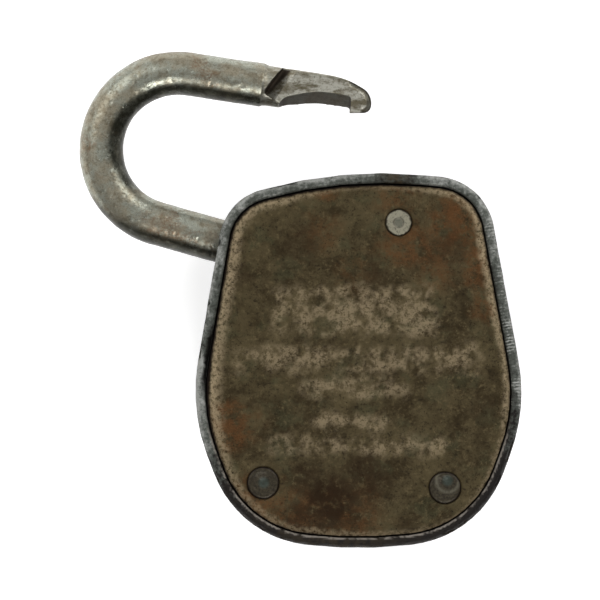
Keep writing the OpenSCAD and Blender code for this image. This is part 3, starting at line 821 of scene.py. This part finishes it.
def shackle():
    """The shackle: toe bevelled and rubbed, rod wavy and pitted, painted dark as shade on its side
    away from the light.
    """
    obj = even_copy("shackle", "shackle_worn", SHACKLE_VOXEL)
    points = coords_of(obj)
    normals = normals_of(obj)
    rod = MOUNTS["shackle_rod"]
    start = np.array(rod["pos_m"]) / MM
    ahead = np.array(rod["axis"])
    radius = rod["dims"]["r_mm"]
    length = rod["dims"]["length_mm"]
    along = (points - start) @ ahead
    sideways = (points - start) @ np.array([-ahead[1], ahead[0], 0])
    height = points[:, 2] - start[2]
    toe = (along > 0) & (points[:, 1] > TOE_UP)
    depth = np.where(toe, radius - np.hypot(sideways, height), 0)
    cut = smooth(depth, 0.3, 0.6)
    rubbed = np.where(toe, smooth(along, length / 2 - 0.2, length / 2 + 0.1), 0)

    # The hook's worn, bevelled end
    end_wall = toe & (along > length) & (height < FLAT_Z - 0.3) & (normals @ ahead > 0.35)
    wall_points = points[end_wall]
    bevel = np.zeros(len(points))
    for i in np.nonzero(toe & (along > length) & (height > FLAT_Z - 0.25))[0]:
        gap = radius_from(wall_points, points[i, :2]).min()
        bevel[i] = 1 - smooth(gap, 0.1, 1.0)
    points[:, 2] -= BEVEL_DEPTH * bevel

    fine = lumps(points, 1.2, 3, 21)
    wide = lumps(points, 7.0, 2, 22)
    pits = smooth(lumps(points, 0.9, 2, 23), 0.42, 0.7)
    points += normals * ((1 - 0.7 * cut) * (0.07 * wide + 0.02 * fine - 0.05 * pits))[:, None]
    points -= normals * (TOE_WEAR * toe * smooth(along, length / 2, length / 2 + 1))[:, None]
    move_points(obj, points)

    bevelled = smooth(bevel, 0.12, 0.3)
    flat = cut * smooth(normals[:, 2], 0.5, 0.8) * (1 - 0.75 * bevelled)
    paint(obj, "cut", np.maximum(flat, 0.6 * rubbed * (1 - cut)))
    sunk = 1 - smooth(height, FLAT_Z - 0.75, FLAT_Z - 0.2)
    past = along - GROOVE_SLANT * sideways - GROOVE_END
    groove = cut * sunk * (1 - smooth(past, -0.3, 0.3))
    walls = cut * (1 - smooth(normals[:, 2], 0.3, 0.7))
    # Painted shade in the toe's groove and on the cut's steep walls, and a darker band on the
    # bevelled end
    paint(obj, "pocket", np.maximum(np.maximum(groove, walls), 0.5 * bevelled))
    # Painted shade: dark on the sides of the rod that face the lower right and the bottom of the
    # view, away from the light
    shade_facing = np.maximum(normals @ SHADE_FACING, -1.5 * normals[:, 1] - 0.5)
    paint(obj, "painted_shade", smooth(shade_facing + 0.08 * wide, 0.05, 0.45) * (1 - cut))
    paint(obj, "rust", smooth(wide + 0.5 * fine, 0.2, 0.8) * (1 - cut))
    wear(obj, "shackle_steel")
    stand_for(obj, "shackle", "shackle")


# ---------------------------------------------------------------- rivets

RIVET_VOXEL = 0.105
# The radius of the line in the middle of the pale rivet
CORE = 0.85


def rivet(node, dimple_at, pale):
    """A peened rivet, pale (1) or dark (0). dimple_at is where its hollow lies from its middle."""
    obj = even_copy(node, node + "_worn", RIVET_VOXEL)
    points = coords_of(obj)
    centre = middle(node)[:2]
    radius = head_radius(node)
    away = radius_from(points, centre)
    hollow = radius_from(points, centre + dimple_at)
    top = smooth(points[:, 2], PLATE_Z - 0.7, PLATE_Z - 0.45)
    fine = lumps(points, 0.6, 3, 31)
    points[:, 2] += top * (0.02 * fine - 0.12 * smooth(away, radius - 0.4, radius))
    if not pale:
        points[:, 2] -= top * (0.12 * bump(hollow, 0, 0.8) - 0.05 * bump(hollow, 1.1, 0.35))
    move_points(obj, points)

    disc = 1 - smooth(away + 0.15 * fine, radius - 0.35, radius - 0.1)
    halo = 0.25 * bump(hollow, 1.9, 0.3) * (np.hypot(*dimple_at) > 1)
    middle_tone = 1 - 0.55 * (1 - smooth(away, CORE - 0.3, CORE + 0.1))
    paint(obj, "pale", pale * disc * middle_tone + halo)
    paint(obj, "hollow", 1 - smooth(hollow, 0.5, 1.2))
    # Dark dirt in a ring round the head's edge, and round the pale rivet's middle
    ring = smooth(away + 0.1 * fine, radius - 0.28, radius - 0.06)
    if pale:
        ring = 0.6 * smooth(away + 0.1 * fine, radius - 0.1, radius)
        ring = np.maximum(ring, 0.5 * bump(away, CORE, 0.13))
    paint(obj, "dirt_and_shade", ring * top)
    wear(obj, "rivet_metal")
    stand_for(obj, node, "lock_case")


# ---------------------------------------------------------------- dial and knob

DIAL_VOXEL = 0.25
KNOB_VOXEL = 0.22
# How far the dial's edge is rounded
DIAL_ROUNDING = 0.25
# The dial's face lies this far inside its lip
DIAL_LIP = 0.2
# The knob's face is rubbed up to this height, and the knob is darker from the second one on,
# towards the dial
KNOB_FACE = 0.4
KNOB_DARKER = 5.6
MARKS = 50
# Every fifth mark is long and has a number: length and half of the width of both kinds
LONG_MARK = (1.3, 0.13)
SHORT_MARK = (0.8, 0.08)
# How far in from the dial's edge the marks start, and the middles of the numbers lie
MARKS_IN = 0.6
NUMBERS_IN = 3.2
NUMBER_SIZE = 2.6
# How far marks and numbers stand out of the face
RELIEF = 0.06


def dial_and_knob():
    """The dial, chipped at its edge, and the knob, rubbed on its ridges and its face."""
    plate = even_copy("dial", "dial_worn", DIAL_VOXEL)
    points = coords_of(plate)
    edge = radius_from(points)
    rim = high("dial")[0]
    front = points[:, 2] < middle("dial")[2]
    points[:, 2] += DIAL_ROUNDING * smooth(edge, rim - 0.5, rim) * front
    move_points(plate, points)
    paint(plate, "worn", smooth(edge, rim - 1.2, rim - 0.1))
    wear(plate, "dial_enamel")
    stand_for(plate, "dial", "dial")

    knob = even_copy("dial_knob", "knob_worn", KNOB_VOXEL)
    points = coords_of(knob)
    edge = radius_from(points)
    rim = high("dial_knob")[0]
    face = 0.5 * (points[:, 2] < KNOB_FACE) * smooth(edge, 3, 12)
    paint(knob, "worn", smooth(edge, rim - 0.6, rim - 0.15) + face)
    # Darker towards the dial
    paint(knob, "dirt_and_shade", 0.7 * smooth(points[:, 2], KNOB_DARKER, KNOB_DARKER + 1))
    wear(knob, "knob_metal")
    stand_for(knob, "dial_knob", "dial")


def dial_lines(face_z, rim):
    """Fifty lines round the dial's face, as one mesh of flat boxes."""
    corners = []
    faces = []
    for i in range(MARKS):
        turn = 2 * math.pi * i / MARKS
        length, half = SHORT_MARK if i % 5 else LONG_MARK
        outer = rim - MARKS_IN
        inner = outer - length
        for radial, side in ((outer, -half), (outer, half), (inner, half), (inner, -half)):
            x = radial * math.cos(turn) - side * math.sin(turn)
            y = radial * math.sin(turn) + side * math.cos(turn)
            for z in (face_z + 0.02, face_z - RELIEF):
                corners.append((x * MM, y * MM, z * MM))
        b = 8 * i
        faces += [(b + 1, b + 3, b + 5, b + 7), (b, b + 6, b + 4, b + 2)]
        faces += [(b + k, b + (k + 2) % 8, b + (k + 3) % 8, b + k + 1) for k in (0, 2, 4, 6)]
    mesh = bpy.data.meshes.new("dial_lines")
    mesh.from_pydata(corners, [], faces)
    mesh.update()
    obj = new_object("dial_lines", mesh)
    wear(obj, "number_paint")
    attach(obj, "dial")


def dial_number(i, face_z, rim):
    """A plain number on the dial's face at the mark i, its foot towards the axis."""
    text = bpy.data.curves.new(f"dial_number_{i}", "FONT")
    text.body = str(i)
    text.size = NUMBER_SIZE * MM
    text.align_x = "CENTER"
    text.align_y = "CENTER"
    text.extrude = RELIEF / 2 * MM
    number = new_object(f"dial_number_{i}", text)
    turn = 2 * math.pi * i / MARKS
    at = Vector((math.cos(turn), math.sin(turn), 0)) * (rim - NUMBERS_IN) * MM
    at.z = (face_z - RELIEF / 2) * MM
    upright = Matrix.Rotation(turn - math.pi / 2, 4, "Z") @ Matrix.Rotation(math.pi, 4, "X")
    number.matrix_world = Matrix.Translation(at) @ upright
    mesh = mesh_as_seen(number)
    mesh.transform(number.matrix_world)
    bpy.data.objects.remove(number)
    number = new_object(f"dial_number_{i}", mesh)
    wear(number, "number_paint")
    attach(number, "dial")


def dial_marks():
    """Lines round the dial's face, with a number at every fifth."""
    face_z = low("dial")[2] + DIAL_LIP
    rim = high("dial")[0]
    dial_lines(face_z, rim)
    for i in range(0, MARKS, 5):
        dial_number(i, face_z, rim)


# ---------------------------------------------------------------- the model


def inner_pieces():
    """The pieces that keep their CAD shape get their metal and a small bevel."""
    slots = {s["node"]: s["material_slot"] for s in frame["record"]["subparts"]}
    for name, node in NODES.items():
        # A node that a worn copy replaces is hidden
        if node.hide_render:
            continue
        wear(node, slots[name])
        soft = node.modifiers.new("bevel", "BEVEL")
        soft.width = 0.05 * MM
        soft.segments = 2
        soft.limit_method = "ANGLE"
        soft.angle_limit = math.radians(40)


back_plate()
case()
shackle()
rivet("top_rivet", np.array([0.0, 0.0]), pale=1)
rivet("left_rivet", np.array([0.1, 0.05]), pale=0)
rivet("right_rivet", np.array([0.45, 1.2]), pale=0)
dial_and_knob()
dial_marks()
inner_pieces()


# ---------------------------------------------------------------- floor, light and camera

# Half of the floor's width, in metres
FLOOR_HALF = 30.0
FLOOR_GREY = 0.8
# What the floor adds of its own to be white for the camera
FLOOR_GLOW = 0.65
# Towards the brightest part of the sky, the cosines between which it brightens, and its levels
SKY_TOWARDS = (-0.5, 0.85, 0.15)
SKY_RANGE = (-0.5, 0.9)
SKY_LEVELS = (0.12, 0.75)
# Name, place in mm from the dial, width in mm, power in watts
LAMPS = [
    ("key", (60, -350, 500), 180, 1.6),
    ("back", (330, 300, 330), 300, 1.2),
    ("fill", (-600, 500, 600), 700, 2.6),
]


def floor():
    """A pale floor that shows as white past the padlock's shadow."""
    mesh = bpy.data.meshes.new("floor")
    half = FLOOR_HALF
    square = [(-half, -half, 0), (half, -half, 0), (half, half, 0), (-half, half, 0)]
    mesh.from_pydata(square, [], [(0, 1, 2, 3)])
    obj = new_object("floor", mesh)
    material = bpy.data.materials.new("floor")
    material.use_nodes = True
    nodes = material.node_tree.nodes
    links = material.node_tree.links
    nodes.clear()
    out = nodes.new("ShaderNodeOutputMaterial")
    diffuse = nodes.new("ShaderNodeBsdfDiffuse")
    diffuse.inputs[0].default_value = (FLOOR_GREY, FLOOR_GREY, FLOOR_GREY, 1)
    glow = nodes.new("ShaderNodeEmission")
    path = nodes.new("ShaderNodeLightPath")
    direct = nodes.new("ShaderNodeMath")
    direct.operation = "ADD"
    seen = nodes.new("ShaderNodeMath")
    seen.operation = "ADD"
    seen.use_clamp = True
    strength = nodes.new("ShaderNodeMath")
    strength.operation = "MULTIPLY"
    strength.inputs[1].default_value = FLOOR_GLOW
    both = nodes.new("ShaderNodeAddShader")
    links.new(path.outputs["Is Camera Ray"], direct.inputs[0])
    links.new(path.outputs["Is Glossy Ray"], direct.inputs[1])
    links.new(direct.outputs[0], seen.inputs[0])
    links.new(path.outputs["Is Transmission Ray"], seen.inputs[1])
    links.new(seen.outputs[0], strength.inputs[0])
    links.new(strength.outputs[0], glow.inputs[1])
    links.new(diffuse.outputs[0], both.inputs[0])
    links.new(glow.outputs[0], both.inputs[1])
    links.new(both.outputs[0], out.inputs[0])
    mesh.materials.append(material)


def world():
    """Soft grey light, brightest from the upper left and dimmest from the lower right."""
    scene_world = bpy.data.worlds.new("studio")
    bpy.context.scene.world = scene_world
    scene_world.use_nodes = True
    nodes = scene_world.node_tree.nodes
    links = scene_world.node_tree.links
    nodes.clear()
    out = nodes.new("ShaderNodeOutputWorld")
    background = nodes.new("ShaderNodeBackground")
    coord = nodes.new("ShaderNodeTexCoord")
    side = nodes.new("ShaderNodeVectorMath")
    side.operation = "DOT_PRODUCT"
    side.inputs[1].default_value = SKY_TOWARDS
    level = nodes.new("ShaderNodeMapRange")
    level.interpolation_type = "SMOOTHSTEP"
    level.inputs["From Min"].default_value = SKY_RANGE[0]
    level.inputs["From Max"].default_value = SKY_RANGE[1]
    level.inputs["To Min"].default_value = SKY_LEVELS[0]
    level.inputs["To Max"].default_value = SKY_LEVELS[1]
    links.new(coord.outputs["Generated"], side.inputs[0])
    links.new(side.outputs["Value"], level.inputs["Value"])
    links.new(level.outputs[0], background.inputs["Strength"])
    links.new(background.outputs[0], out.inputs[0])


def soft_light(name, place, size, power):
    """A square lamp at place, in mm from the dial, facing the padlock."""
    lamp = bpy.data.lights.new(name, "AREA")
    lamp.size = size * MM
    lamp.energy = power
    obj = new_object(name, lamp)
    obj.location = Vector(place) * MM
    obj.rotation_euler = (-obj.location).to_track_quat("-Z", "Y").to_euler()


def camera():
    """Looks down on the back plate from far off, leaning one degree towards its lower right."""
    data = bpy.data.cameras.new("camera")
    obj = new_object("camera", data)
    distance = 2500.0
    view_width = 100.0
    lean = math.radians(1.0)
    towards = math.radians(-50)
    aim = Vector((-9.75, 13.0, PLATE_Z)) * MM
    back = Vector(
        (math.sin(lean) * math.cos(towards), math.sin(lean) * math.sin(towards), math.cos(lean))
    )
    right = Vector((0, 1, 0)).cross(back).normalized()
    up = back.cross(right)
    turned = Matrix((right, up, back)).transposed().to_4x4()
    obj.matrix_world = Matrix.Translation(aim + back * distance * MM) @ turned
    data.sensor_width = 36
    data.lens = data.sensor_width * distance / view_width
    data.clip_start = 0.01
    bpy.context.scene.camera = obj


floor()
world()
for lamp_settings in LAMPS:
    soft_light(*lamp_settings)
camera()
bpy.context.scene.view_settings.view_transform = "Standard"
